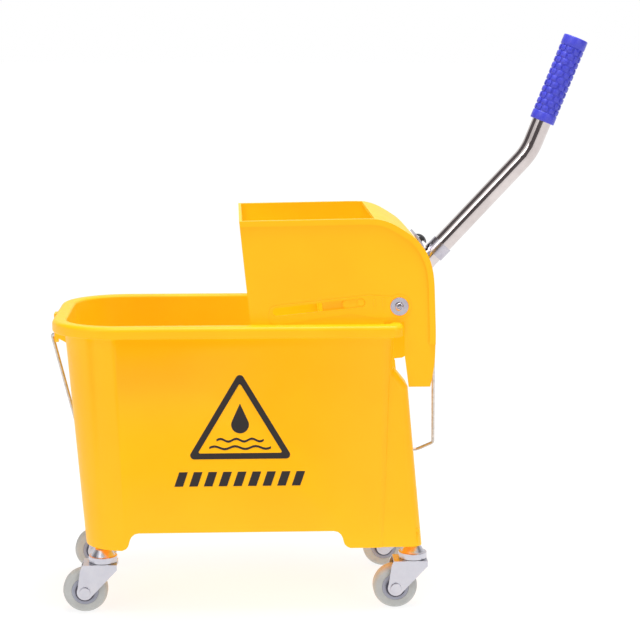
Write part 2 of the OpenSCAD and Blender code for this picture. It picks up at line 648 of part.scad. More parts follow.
module handle_saddle() on_rim() color("silver") difference() {
    union() {
        side_plate(-24, 24) polygon(concat(inset(saddle, -1), backwards(inset(saddle, -3.5))));
        translate([pivot_x, 0, pivot_height]) along_handle() translate([0, 0, 66]) cylinder(h = 16, r = tube_r + 1.4);
    }
    translate([pivot_x, 0, pivot_height]) along_handle() cylinder(h = 120, r = tube_r + running);
    translate([pivot_x, 0, pivot_height]) rotate([0, 90 - handle_slope, 0]) translate([-18.5, 0, 40])
        cylinder(h = 40, r = 3);
}

module saddle_cap() on_rim() color("black") translate([pivot_x, 0, pivot_height])
    rotate([0, 90 - handle_slope, 0]) translate([-18.5, 0, 0]) {
        translate([0, 0, 64.5]) cylinder(h = 5.5, r = 3);
        intersection() {
            translate([0, 0, 69]) cylinder(h = 4.2, r = 8);
            translate([0, 0, 63.2]) sphere(10);
        }
    }

module grip() on_rim() color("mediumblue") translate([vertex[0], 0, vertex[1]])
    rotate([0, 90 - grip_slope, 0]) translate([0, 0, upper_reach - grip_length]) {
        rows = 10;
        step = (grip_length - 22) / rows;
        difference() {
            union() {
                cylinder(h = grip_length, r = grip_r - 1);
                cylinder(h = 10, r = grip_r);
                translate([0, 0, grip_length - 12]) cylinder(h = 12, r = grip_r);
                for (i = [0:rows - 1]) translate([0, 0, 10 + (i + 0.25) * step]) cylinder(h = step / 2, r = grip_r - 0.1);
            }
            translate([0, 0, -1]) cylinder(h = grip_length - 3, r = tube_r);
        }
    }

tub();
bail();
wringer_housing();
pivot_rod();
pivot_washer(-1);  // pivot_washer_near
pivot_washer(1);  // pivot_washer_far
pivot_nut();
return_spring();
pinion_pin(-1);  // pinion_pin_near
pinion_pin(1);  // pinion_pin_far
pinion(-1);  // pinion_near
pinion(1);  // pinion_far
press_plate();
shoe(-1);  // shoe_near
shoe(1);  // shoe_far
handle_yoke();
handle_tube();
handle_saddle();
saddle_cap();
grip();
caster_stem(-1, -1);  // fn_stem
caster_fork(-1, -1);  // fn_fork
caster_axle(-1, -1);  // fn_axle
caster_guard(-1, -1);  // fn_guard
caster_hub(-1, -1);  // fn_hub
caster_tyre(-1, -1);  // fn_tyre
caster_stem(-1, 1);  // ff_stem
caster_fork(-1, 1);  // ff_fork
caster_axle(-1, 1);  // ff_axle
caster_guard(-1, 1);  // ff_guard
caster_hub(-1, 1);  // ff_hub
caster_tyre(-1, 1);  // ff_tyre
caster_stem(1, -1);  // rn_stem
caster_fork(1, -1);  // rn_fork
caster_axle(1, -1);  // rn_axle
caster_guard(1, -1);  // rn_guard
caster_hub(1, -1);  // rn_hub
caster_tyre(1, -1);  // rn_tyre
caster_stem(1, 1);  // rf_stem
caster_fork(1, 1);  // rf_fork
caster_axle(1, 1);  // rf_axle
caster_guard(1, 1);  // rf_guard
caster_hub(1, 1);  // rf_hub
caster_tyre(1, 1);  // rf_tyre
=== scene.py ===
# %% [markdown]
# # A mop bucket with its wringer, dressed cell by cell
# The frame arrives finished from the CAD model: every piece already has its real size and its joints. What is left is
# what a product photographer would care about: the skin of each moulding, the sparkle of the plated steel, the soft
# grip and the light. Each cell below makes one of those things and prints what it made.

import json
import math

import bmesh
import bpy
from mathutils import Matrix, Vector


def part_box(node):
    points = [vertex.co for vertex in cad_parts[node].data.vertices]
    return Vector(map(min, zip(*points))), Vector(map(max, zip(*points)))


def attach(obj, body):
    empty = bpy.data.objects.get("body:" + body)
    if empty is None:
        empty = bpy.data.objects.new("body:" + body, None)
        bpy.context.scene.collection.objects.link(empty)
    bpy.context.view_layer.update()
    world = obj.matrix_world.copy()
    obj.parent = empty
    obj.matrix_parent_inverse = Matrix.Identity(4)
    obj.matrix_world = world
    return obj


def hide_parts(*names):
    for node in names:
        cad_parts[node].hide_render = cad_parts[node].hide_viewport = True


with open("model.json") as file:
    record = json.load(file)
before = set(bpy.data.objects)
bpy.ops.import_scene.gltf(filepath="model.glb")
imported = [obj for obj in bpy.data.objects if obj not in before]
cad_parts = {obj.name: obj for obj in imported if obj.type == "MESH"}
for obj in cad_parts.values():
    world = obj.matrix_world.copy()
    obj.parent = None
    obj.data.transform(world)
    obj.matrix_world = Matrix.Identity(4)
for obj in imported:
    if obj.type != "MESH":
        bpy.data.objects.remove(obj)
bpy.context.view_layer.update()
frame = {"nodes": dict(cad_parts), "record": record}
nodes = frame["nodes"]

# %% [markdown]
# The camera stands where a catalogue photographer would: two metres away, a little above the rim, with a 105 mm lens so
# that the sides stay nearly parallel. It looks 9 degrees down, and a touch to the right, which shows the rear of the
# tub just enough to read its buttress. The numbers are the stand's own position, so nothing here follows the object.

# %% Camera
camera_data = bpy.data.cameras.new("catalogue_camera")
camera_data.lens = 105.0
camera_data.sensor_width = 36.0
camera_data.dof.use_dof = False
camera = bpy.data.objects.new("catalogue_camera", camera_data)
bpy.context.scene.collection.objects.link(camera)
camera.location = (-0.0973, -2.1232, 0.6528)
camera.rotation_euler = (math.radians(90 - 8.997), 0, math.radians(-2.70))
bpy.context.scene.camera = camera
print("camera height", camera.location.z, "m, lens", camera_data.lens, "mm")

# %% [markdown]
# Two small helpers carry the whole file. Designers quote colours as sRGB hex, and shaders want linear light, so one
# function converts. The other adds a shader node, gives it its settings, and either links or sets each input.

# %% Colour and node helpers
def linear(hex_colour):
    """An sRGB colour such as "#FFC61C" as the linear RGBA that a shader works in."""
    parts = [int(hex_colour[i:i + 2], 16) / 255 for i in (1, 3, 5)]
    return tuple(c / 12.92 if c <= 0.04045 else ((c + 0.055) / 1.055) ** 2.4 for c in parts) + (1.0,)


def add(tree, kind, inputs=None, **settings):
    """Adds one node. inputs maps a socket's name or number to a value, or to the socket that feeds it."""
    node = tree.nodes.new(kind)
    for key, value in settings.items():
        setattr(node, key, value)
    for key, value in (inputs or {}).items():
        if isinstance(value, bpy.types.NodeSocket):
            tree.links.new(value, node.inputs[key])
        else:
            node.inputs[key].default_value = value
    return node


def new_finish(name, **surface):
    """A material with one Principled surface; surface sets its plain numbers."""
    finish = bpy.data.materials.new(name)
    finish.use_nodes = True
    shader = finish.node_tree.nodes["Principled BSDF"]
    for key, value in surface.items():
        shader.inputs[key.replace("_", " ")].default_value = value
    return finish, finish.node_tree, shader


def ramp_between(tree, factor, dark, light, low=0.35, high=0.65):
    """A soft change between two colours as factor runs from low to high."""
    ramp = add(tree, "ShaderNodeValToRGB", {"Fac": factor})
    ramp.color_ramp.elements[0].position, ramp.color_ramp.elements[0].color = low, linear(dark)
    ramp.color_ramp.elements[1].position, ramp.color_ramp.elements[1].color = high, linear(light)
    return ramp.outputs["Color"]


print("helpers ready; bucket yellow in linear light is", [round(c, 3) for c in linear("#FFC61C")])

# %% [markdown]
# The stage is a white floor under a white sky. A chromed tube only looks like chrome if it has something dark to
# mirror, so a grey card stands behind the camera, a smaller one to the right, and a sloping one hangs high on the left.
# The cards never show in the picture.
#
# The floor glows a little, so that it stays white under the tub, and its own colour is a middle grey, so that it takes
# on only a hint of the yellow above it.

# %% Floor, sky and cards
def stage_sheet(name, corners, finish):
    """One flat sheet that belongs to the stage and not to the bucket."""
    mesh = bpy.data.meshes.new(name)
    mesh.from_pydata(corners, [], [(0, 1, 2, 3)])
    mesh.materials.append(finish)
    sheet = bpy.data.objects.new(name, mesh)
    bpy.context.scene.collection.objects.link(sheet)
    return sheet


def dark_card(name, corners):
    """A card that shows in reflections only."""
    stage_sheet(name, corners, card_finish).visible_camera = False


floor_finish, tree, shader = new_finish("studio_floor_vinyl", Roughness=0.8, Specular_IOR_Level=0.1,
                                        Emission_Strength=0.8)
shader.inputs["Emission Color"].default_value = linear("#FFFFFF")
where = add(tree, "ShaderNodeTexCoord").outputs["Object"]
speckle = add(tree, "ShaderNodeTexNoise", {"Vector": where, "Scale": 3.0, "Detail": 3.0})
tree.links.new(ramp_between(tree, speckle.outputs["Fac"], "#868686", "#8C8C8C"), shader.inputs["Base Color"])
stage_sheet("floor", [(-30, -30, 0), (30, -30, 0), (30, 30, 0), (-30, 30, 0)], floor_finish)

card_finish, tree, shader = new_finish("dark_card", Roughness=0.9)
shader.inputs["Base Color"].default_value = linear("#5C585A")
dark_card("card_behind_camera", [(-2.4, -3.6, 0.3), (2.0, -3.6, 0.3), (2.0, -3.6, 2.6), (-2.4, -3.6, 2.6)])
dark_card("card_right", [(2.2, -1.6, 0.1), (2.2, 0.4, 0.1), (2.2, 0.4, 1.9), (2.2, -1.6, 1.9)])
dark_card("card_left_high", [(-2.6, -0.6, 1.0), (-2.6, 2.4, 1.0), (-1.4, 2.4, 3.2), (-1.4, -0.6, 3.2)])

world = bpy.data.worlds.new("white_sky")
world.use_nodes = True
sky = world.node_tree.nodes["Background"]
sky.inputs["Color"].default_value = linear("#FFFFFF")
seen = add(world.node_tree, "ShaderNodeLightPath")
level = add(world.node_tree, "ShaderNodeMapRange", {"Value": seen.outputs["Is Camera Ray"],
                                                    "To Min": 0.8, "To Max": 1.0})
world.node_tree.links.new(level.outputs["Result"], sky.inputs["Strength"])
bpy.context.scene.world = world
bpy.context.scene.view_settings.view_transform = "Standard"
bpy.context.scene.view_settings.look = "None"

# %% Softboxes
def softbox(name, place, target, width, height, watts):
    """A rectangular lamp at place that looks at target."""
    light = bpy.data.lights.new(name, "AREA")
    light.shape, light.size, light.size_y, light.energy = "RECTANGLE", width, height, watts
    lamp = bpy.data.objects.new(name, light)
    bpy.context.scene.collection.objects.link(lamp)
    lamp.location = place
    lamp.rotation_euler = (Vector(target) - Vector(place)).to_track_quat("-Z", "Y").to_euler()


softbox("key_left", (-1.7, -2.3, 2.1), (0, 0, 0.3), 1.1, 1.1, 9)
softbox("fill_right", (1.6, -2.4, 1.3), (0.1, 0, 0.3), 0.5, 1.4, 6)
softbox("top", (0.1, -0.2, 2.6), (0, 0, 0.3), 1.6, 1.0, 44)

# %% [markdown]
# The yellow parts are injection-moulded polypropylene. Under soft light it has a waxy satin gloss, a colour that goes
# from lemon in the light to orange in its own shade, and a skin that is very slightly uneven: a fine grain from the
# steel mould and long, lazy waves where the wall sank as it cooled. Noises make the skin. Two measures of how enclosed
# a point is make the rest, and both paint light into the colour: a short one paints an orange shade into the creases,
# and a long one paints a faint glow onto sheltered walls, in place of the light that leaks through thin polypropylene.

# %% Yellow polypropylene
yellow, tree, shader = new_finish("moulded_polypropylene_yellow", IOR=1.49, Specular_IOR_Level=0.3)
# A wall of polypropylene is not opaque: some light leaks through from its other side. That is not traced here; a
# painted glow of the yellow, given as emission, stands in for it and lifts the shade. The painted glow is strongest
# where little other light falls, so it grows with the shelter that the space around a point gives.
shader.inputs["Emission Color"].default_value = linear("#FFC81E")
shelter = add(tree, "ShaderNodeAmbientOcclusion", {"Distance": 0.16}, samples=6)
painted_glow = add(tree, "ShaderNodeMapRange", {"Value": shelter.outputs["AO"], "From Min": 0.25, "From Max": 0.9,
                                        "To Min": 0.4, "To Max": 0.12})
tree.links.new(painted_glow.outputs["Result"], shader.inputs["Emission Strength"])
where = add(tree, "ShaderNodeTexCoord").outputs["Object"]
tone = add(tree, "ShaderNodeTexNoise", {"Vector": where, "Scale": 7.0, "Detail": 3.0, "Roughness": 0.5})
skin_tone = ramp_between(tree, tone.outputs["Fac"], "#FFB702", "#FFBE0A")
# Painted shade: in a crease the colour lights itself again and again and turns orange within about a centimetre, so
# orange is painted into the base colour where the space around a point closes in.
crease = add(tree, "ShaderNodeAmbientOcclusion", {"Distance": 0.011}, samples=6)
depth = add(tree, "ShaderNodeMapRange", {"Value": crease.outputs["AO"], "From Min": 0.35, "From Max": 0.95,
                                         "To Min": 1.0, "To Max": 0.0})
tone_with_painted_shade = add(tree, "ShaderNodeMix", {"Factor": depth.outputs["Result"]}, data_type="RGBA")
tree.links.new(skin_tone, tone_with_painted_shade.inputs[6])
tone_with_painted_shade.inputs[7].default_value = linear("#FF9A00")
tree.links.new(tone_with_painted_shade.outputs[2], shader.inputs["Base Color"])
# The mould's grain is about 0.4 mm across, which is 2500 cells in a metre.
grain = add(tree, "ShaderNodeTexNoise", {"Vector": where, "Scale": 2500.0, "Detail": 2.0})
sink = add(tree, "ShaderNodeTexNoise", {"Vector": where, "Scale": 14.0, "Detail": 1.0})
scuffs = add(tree, "ShaderNodeTexNoise", {"Vector": where, "Scale": 90.0, "Detail": 6.0, "Roughness": 0.7,
                                          "Distortion": 1.2})
gloss = add(tree, "ShaderNodeMapRange", {"Value": scuffs.outputs["Fac"], "From Min": 0.35, "From Max": 0.75,
                                         "To Min": 0.36, "To Max": 0.5})
tree.links.new(gloss.outputs["Result"], shader.inputs["Roughness"])
waves = add(tree, "ShaderNodeBump", {"Height": sink.outputs["Fac"], "Strength": 0.12, "Distance": 0.004})
skin = add(tree, "ShaderNodeBump", {"Height": grain.outputs["Fac"], "Strength": 0.12, "Distance": 0.0002,
                                    "Normal": waves.outputs["Normal"]})
tree.links.new(skin.outputs["Normal"], shader.inputs["Normal"])
print("yellow has", len(tree.nodes), "nodes")

# %% [markdown]
# Steel comes in several dresses here. The casters are zinc plated, bright and faintly cloudy, and the pivot's washers
# are a shade duller. The handle is chromed tube, so its roughness is very low. The bail is galvanised wire, the spring
# is oiled wire, and the yoke inside the hood is painted black. Metals keep their default IOR: their colour says it all.

# %% Plated, chromed and painted steel
PLATING_RELIEF = 0.02


def plated(name, colour_low, colour_high, rough_low, rough_high, cloud=60.0):
    """A plated steel, a little cloudy in colour and in gloss; cloud is the number of clouds in a metre."""
    finish, tree, shader = new_finish(name, Metallic=1.0)
    where = add(tree, "ShaderNodeTexCoord").outputs["Object"]
    mottle = add(tree, "ShaderNodeTexNoise", {"Vector": where, "Scale": cloud, "Detail": 4.0, "Roughness": 0.6})
    tree.links.new(ramp_between(tree, mottle.outputs["Fac"], colour_low, colour_high), shader.inputs["Base Color"])
    rough = add(tree, "ShaderNodeMapRange", {"Value": mottle.outputs["Fac"], "From Min": 0.3, "From Max": 0.7,
                                             "To Min": rough_low, "To Max": rough_high})
    tree.links.new(rough.outputs["Result"], shader.inputs["Roughness"])
    hair = add(tree, "ShaderNodeTexNoise", {"Vector": where, "Scale": 1400.0, "Detail": 2.0})
    relief = add(tree, "ShaderNodeBump", {"Height": hair.outputs["Fac"], "Strength": PLATING_RELIEF,
                                          "Distance": 0.0002})
    tree.links.new(relief.outputs["Normal"], shader.inputs["Normal"])
    return finish


zinc = plated("zinc_plated_pressed_steel", "#C9C9D3", "#D2D2DA", 0.28, 0.34)
bright = plated("bright_zinc_fasteners", "#B9B5BF", "#C8C4CC", 0.18, 0.28, cloud=150.0)
chrome = plated("polished_chromed_tube", "#CDC3C1", "#DAD1CF", 0.06, 0.12, cloud=40.0)
wire = plated("galvanised_wire", "#C6BEB6", "#DCD6CF", 0.3, 0.42, cloud=220.0)
spring_steel = plated("oiled_spring_wire", "#6E6C69", "#8A8783", 0.3, 0.45, cloud=300.0)

yoke_paint, tree, shader = new_finish("black_enamelled_steel", Roughness=0.4)
where = add(tree, "ShaderNodeTexCoord").outputs["Object"]
peel = add(tree, "ShaderNodeTexNoise", {"Vector": where, "Scale": 500.0, "Detail": 2.0})
tree.links.new(ramp_between(tree, peel.outputs["Fac"], "#1B1B1D", "#26262A"), shader.inputs["Base Color"])
orange_peel = add(tree, "ShaderNodeBump", {"Height": peel.outputs["Fac"], "Strength": 0.15, "Distance": 0.0003})
tree.links.new(orange_peel.outputs["Normal"], shader.inputs["Normal"])
print("metals:", [m.name for m in (zinc, bright, chrome, wire, spring_steel)])

# %% [markdown]
# The rest is rubber and nylon. Non-marking tyres are a warm grey with a dusty surface, the hubs and thread guards are
# a cooler grey nylon, and the grip is soft blue vinyl, dipped and slightly shiny. All of them get a fine mottling,
# because a plastic in a single flat colour looks like a computer made it.

# %% Rubber, vinyl and nylon
def moulded(name, dark, light, rough_low, rough_high, grain_scale, depth):
    """A rubber or a plastic with a fine grain; depth is the height of the grain in metres."""
    finish, tree, shader = new_finish(name, IOR=1.5)
    where = add(tree, "ShaderNodeTexCoord").outputs["Object"]
    tone = add(tree, "ShaderNodeTexNoise", {"Vector": where, "Scale": 55.0, "Detail": 5.0, "Roughness": 0.6})
    tree.links.new(ramp_between(tree, tone.outputs["Fac"], dark, light), shader.inputs["Base Color"])
    rough = add(tree, "ShaderNodeMapRange", {"Value": tone.outputs["Fac"], "From Min": 0.3, "From Max": 0.7,
                                             "To Min": rough_low, "To Max": rough_high})
    tree.links.new(rough.outputs["Result"], shader.inputs["Roughness"])
    grain = add(tree, "ShaderNodeTexNoise", {"Vector": where, "Scale": grain_scale, "Detail": 2.0})
    relief = add(tree, "ShaderNodeBump", {"Height": grain.outputs["Fac"], "Strength": 0.2, "Distance": depth})
    tree.links.new(relief.outputs["Normal"], shader.inputs["Normal"])
    return finish


tyre_rubber = moulded("grey_non_marking_rubber", "#B9BAB8", "#C5C6C3", 0.55, 0.7, 1800.0, 0.0002)
hub_nylon = moulded("grey_wheel_nylon", "#A0A2B2", "#ADAFBD", 0.4, 0.5, 1500.0, 0.0001)
guard_plastic = moulded("dark_grey_guard_plastic", "#3E3C4C", "#4A4858", 0.35, 0.45, 1500.0, 0.0001)
white_nylon = moulded("natural_gear_nylon", "#E4E0D6", "#EFECE3", 0.35, 0.45, 1500.0, 0.0001)
grip_vinyl = moulded("blue_dipped_vinyl", "#4347CE", "#4E50DA", 0.3, 0.4, 900.0, 0.0002)
cap_black = moulded("black_snap_cap", "#131316", "#1D1D21", 0.2, 0.28, 1200.0, 0.0001)
print("plastics:", [m.name for m in (tyre_rubber, hub_nylon, guard_plastic, white_nylon, grip_vinyl, cap_black)])

# %% Which finish each slot of the record gets
FINISH = {"yellow_moulding": yellow, "zinc_wire": wire, "bright_steel": bright, "spring_steel": spring_steel,
          "white_nylon": white_nylon, "dark_steel": yoke_paint, "chrome_tube": chrome, "black_plastic": cap_black,
          "blue_grip": grip_vinyl, "zinc_plate": zinc, "grey_plastic": hub_nylon, "grey_tyre": tyre_rubber}
slot_of = {s["node"]: s["material_slot"] for s in frame["record"]["subparts"]}
body_of = {n: b for b, members in frame["record"]["behaviour"]["bodies"].items() for n in members}
for name, piece in nodes.items():
    finish = guard_plastic if name.endswith("_guard") else FINISH[slot_of[name]]
    piece.data.materials.clear()
    piece.data.materials.append(finish)
print("dressed", len(nodes), "nodes")

# %% [markdown]
# A CAD edge is perfectly sharp, and nothing in a shop is. Each visible piece is copied, its loose triangles are merged
# and its flat faces joined up again, and then a narrow bevel catches the light along every edge. The copy stands for
# the CAD node, which stays underneath for collision.

# %% Soft edges on the CAD shapes
NEARLY_FLAT = math.radians(0.6)


def soften(name, width, segments=2, angle=35.0, rounds=()):
    """Bevels a copy of a CAD node and lets it stand for the node.

    rounds lists (radius, segments, test) for edges that get a larger radius first; test reads an edge.
    """
    source = nodes[name]
    shape = bmesh.new()
    shape.from_mesh(source.data)
    bmesh.ops.remove_doubles(shape, verts=shape.verts, dist=2e-6)
    bmesh.ops.dissolve_degenerate(shape, dist=1e-6, edges=shape.edges)
    bmesh.ops.dissolve_limit(shape, angle_limit=NEARLY_FLAT, verts=shape.verts, edges=shape.edges)
    for radius, steps, test in rounds:
        chosen = [e for e in shape.edges if len(e.link_faces) == 2 and test(e)]
        bmesh.ops.bevel(shape, geom=chosen, offset=radius, offset_type="OFFSET", segments=steps, profile=0.5,
                        affect="EDGES", clamp_overlap=True)
        print(f"  {name}: {len(chosen)} edges rounded to {radius * 1000:.1f} mm")
    mesh = bpy.data.meshes.new(name + "_skin")
    shape.to_mesh(mesh)
    shape.free()
    skin = bpy.data.objects.new(name + "_skin", mesh)
    bpy.context.scene.collection.objects.link(skin)
    bevel = skin.modifiers.new("edge", "BEVEL")
    bevel.width, bevel.segments, bevel.limit_method = width, segments, "ANGLE"
    bevel.angle_limit, bevel.use_clamp_overlap, bevel.harden_normals = math.radians(angle), True, False
    return bake(skin, name, smooth=angle)


def plain(piece):
    """Replaces a piece's mesh with the result of its modifiers."""
    shown = bpy.data.meshes.new_from_object(piece.evaluated_get(bpy.context.evaluated_depsgraph_get()))
    piece.modifiers.clear()
    piece.data = shown
    return shown


def bake(skin, stands_for, smooth):
    """Turns the modifiers into plain mesh, smooths it up to an angle, and lets it stand for a CAD node.

    A large flat wall that meets a small curve would take on a false shade, so each corner's normal leans to the
    largest face around it.
    """
    shown = plain(skin)
    shown.shade_smooth()
    shown.set_sharp_from_angle(angle=math.radians(smooth))
    leaning = skin.modifiers.new("leaning", "WEIGHTED_NORMAL")
    leaning.mode, leaning.weight, leaning.keep_sharp = "FACE_AREA", 80, True
    shown = plain(skin)
    if not shown.materials:
        shown.materials.append(nodes[stands_for].data.materials[0])
    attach(skin, body_of[stands_for])
    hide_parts(stands_for)
    return skin


def facing(edge, upright, sideways):
    """True where one of the edge's faces points along upright and the other points level, out or in."""
    for a, b in (edge.link_faces, reversed(edge.link_faces)):
        middle = (edge.verts[0].co + edge.verts[1].co) / 2 - tub_middle
        out = b.normal.x * middle.x + b.normal.y * middle.y
        if a.normal.z * upright > 0.9 and abs(b.normal.z) < 0.2 and out * sideways > 0:
            return True
    return False


def at_height(edge, z):
    """True for a level edge at the height z."""
    return all(abs(v.co.z - z) < 2e-4 for v in edge.verts)


tub_low, tub_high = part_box("tub")
tub_middle = (Vector(tub_low) + Vector(tub_high)) / 2
RIM = tub_high[2]
LIP = 0.013
FOOT = tub_low[2]
soften("tub", 0.0011, rounds=[
    (0.0050, 5, lambda e: at_height(e, RIM) and facing(e, 1, 1)),
    (0.0032, 4, lambda e: at_height(e, RIM) and facing(e, 1, -1)),
    (0.0014, 3, lambda e: at_height(e, RIM - LIP) and facing(e, -1, 1)),
    (0.0030, 4, lambda e: at_height(e, FOOT) and facing(e, -1, 1))])

housing_low, housing_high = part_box("wringer_housing")
CHEEK = (housing_high[1] - housing_low[1]) / 2 - 0.003


def hood_edge(e):
    """The long edge where the hood turns down into a cheek."""
    a, b = (f.normal for f in e.link_faces)
    level = all(abs(abs(v.co.y) - CHEEK) < 2e-4 or abs(abs(v.co.y) - CHEEK - 0.003) < 2e-4 for v in e.verts)
    flat = (abs(a.y) > 0.95 and abs(b.y) < 0.05) or (abs(b.y) > 0.95 and abs(a.y) < 0.05)
    other = b if abs(a.y) > 0.95 else a
    return level and flat and (other.x > 0.1 or other.z > 0.5) and min(v.co.z for v in e.verts) > 0.2565


soften("wringer_housing", 0.0009, rounds=[(0.0022, 4, hood_edge)])

for name, width in {"press_plate": 0.0008, "shoe_near": 0.0008, "shoe_far": 0.0008, "handle_yoke": 0.0006,
                    "handle_saddle": 0.0005, "saddle_cap": 0.0004, "pivot_rod": 0.0004,
                    "pivot_washer_near": 0.0003, "pivot_washer_far": 0.0003, "pivot_nut": 0.0005}.items():
    soften(name, width)
for end in ("fn", "ff", "rn", "rf"):
    for part, width in {"stem": 0.0006, "fork": 0.0007, "axle": 0.0006, "guard": 0.0003, "hub": 0.0005,
                        "tyre": 0.0006}.items():
        soften(f"{end}_{part}", width, angle=28.0)
for name in ("bail", "handle_tube", "pinion_near", "pinion_far", "pinion_pin_near", "pinion_pin_far"):
    soften(name, 0.0002, segments=1, angle=40.0)

# %% [markdown]
# The mark on the side is screen printed: one pass of thick dark ink through a mesh, dried hard. A print is a shape, not
# a picture, so it is built as thin sheets that lie on the wall. It is a plain triangle with a falling drop over two
# ripples, above a band of slanting stripes, which says "wet" in any country. A ray shot at the wall tells each corner
# of a shape how deep to go.

# %% Ink shapes on the near wall
from mathutils.bvhtree import BVHTree

ink, tree, shader = new_finish("screen_printed_dark_ink", Roughness=0.45, IOR=1.5)
where = add(tree, "ShaderNodeTexCoord").outputs["Object"]
mesh_marks = add(tree, "ShaderNodeTexNoise", {"Vector": where, "Scale": 900.0, "Detail": 2.0})
tree.links.new(ramp_between(tree, mesh_marks.outputs["Fac"], "#140702", "#1E0D05"), shader.inputs["Base Color"])
ink_relief = add(tree, "ShaderNodeBump", {"Height": mesh_marks.outputs["Fac"], "Strength": 0.2, "Distance": 0.0001})
tree.links.new(ink_relief.outputs["Normal"], shader.inputs["Normal"])

tub_mesh = nodes["tub"].data
tub_faces = BVHTree.FromPolygons([v.co for v in tub_mesh.vertices], [f.vertices for f in tub_mesh.polygons])
MARK_X = tub_low[0] + 0.2107
INK_PROUD, INK_BURIED = 0.00025, 0.0002


def wall_y(x, z):
    """How deep the near wall lies at a point of the mark."""
    return tub_faces.ray_cast(Vector((x, -0.3, z)), Vector((0, 1, 0)))[0].y


def rounded(corners, radius, steps=6):
    """The corners of a flat shape, each swapped for a small arc."""
    loop = []
    for i, corner in enumerate(corners):
        here = Vector(corner)
        back = (Vector(corners[i - 1]) - here).normalized()
        ahead = (Vector(corners[(i + 1) % len(corners)]) - here).normalized()
        half = back.angle(ahead) / 2
        start, end = here + back * radius / math.tan(half), here + ahead * radius / math.tan(half)
        centre = here + (back + ahead).normalized() * radius / math.sin(half)
        for k in range(steps + 1):
            spoke = (start - centre).lerp(end - centre, k / steps).normalized() * radius
            loop.append(tuple(centre + spoke))
    return loop


def ink_sheet(shape, outer, inner=None):
    """One flat island of ink between two loops, or inside one, with a front, a back and its edges."""
    def layer(loop, depth):
        return [shape.verts.new((MARK_X + x, wall_y(MARK_X + x, z) + depth, z)) for x, z in loop]

    def edges(front, back):
        for i in range(len(front)):
            j = (i + 1) % len(front)
            shape.faces.new((front[i], front[j], back[j], back[i]))

    front, back = layer(outer, -INK_PROUD), layer(outer, INK_BURIED)
    edges(front, back)
    if inner is None:
        shape.faces.new(front)
        shape.faces.new(reversed(back))
        return
    front_in, back_in = layer(inner, -INK_PROUD), layer(inner, INK_BURIED)
    edges(list(reversed(front_in)), list(reversed(back_in)))
    for i in range(len(front)):
        j = (i + 1) % len(front)
        shape.faces.new((front[i], front_in[i], front_in[j], front[j]))
        shape.faces.new((back[j], back_in[j], back_in[i], back[i]))


def piece_from(shape, name, finish, body, smooth=30.0):
    """A bmesh turned into a finished piece that rides on a body."""
    bmesh.ops.recalc_face_normals(shape, faces=shape.faces)
    mesh = bpy.data.meshes.new(name)
    shape.to_mesh(mesh)
    shape.free()
    mesh.materials.append(finish)
    mesh.shade_smooth()
    mesh.set_sharp_from_angle(angle=math.radians(smooth))
    piece = bpy.data.objects.new(name, mesh)
    bpy.context.scene.collection.objects.link(piece)
    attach(piece, body)
    return piece


# %% The triangle, the drop, the ripples and the stripes
# Heights are above the floor, and distances along X are from the middle of the mark.
mark = bmesh.new()
outside = rounded([(0.0, 0.2790), (0.0585, 0.1795), (-0.0585, 0.1795)], radius=0.0045)
inside = rounded([(0.0, 0.2655), (0.0468, 0.1862), (-0.0468, 0.1862)], radius=0.0015)
ink_sheet(mark, outside, inside)
DROP_R, DROP_Z, DROP_TIP = 0.0098, 0.2185, 0.0240
arc = [math.radians(d) for d in range(-115, 116, 10)]
drop = [(DROP_R * math.sin(a), DROP_Z - DROP_R * math.cos(a)) for a in arc]
ink_sheet(mark, drop + [(0.0, DROP_Z + DROP_TIP)])
RIPPLE_HALF, RIPPLE_RISE, RIPPLE_STEPS = 0.0013, 0.0016, 24
for level, half in ((0.2010, 0.026), (0.1925, 0.034)):
    line = [(-half + 2 * half * k / RIPPLE_STEPS, level + RIPPLE_RISE * math.sin(k * math.pi / 4))
            for k in range(RIPPLE_STEPS + 1)]
    ink_sheet(mark, [(x, z - RIPPLE_HALF) for x, z in line] + [(x, z + RIPPLE_HALF) for x, z in reversed(line)])
STRIPES, STRIPE_PITCH, STRIPE_WIDTH, STRIPE_LEAN = 9, 0.0162, 0.0095, 0.0055
STRIPE_LOW, STRIPE_HIGH = 0.1485, 0.1650
for k in range(STRIPES):
    x = (k - STRIPES / 2) * STRIPE_PITCH
    ink_sheet(mark, [(x, STRIPE_LOW), (x + STRIPE_WIDTH, STRIPE_LOW),
                     (x + STRIPE_WIDTH + STRIPE_LEAN, STRIPE_HIGH), (x + STRIPE_LEAN, STRIPE_HIGH)])
printed = piece_from(mark, "side_print", ink, "tub_body")
print("ink:", len(printed.data.polygons), "faces")

# %% [markdown]
# The grip is a dipped sleeve with rows of raised lugs, each row turned by half a step so that the lugs interlock like
# bricks. Rows that repeat are what Geometry Nodes are for: a grid of points is rolled into a tube, a lug is put on each
# point, and the inputs are the sizes a maker would ask for. The sleeve under them is a turned profile.

# %% A lug, and a node tree that wraps lugs around a sleeve
def squarish(value, power=0.55):
    """A sine or a cosine pushed outwards, which turns a circle into a rounded square."""
    return math.copysign(abs(value) ** power, value)


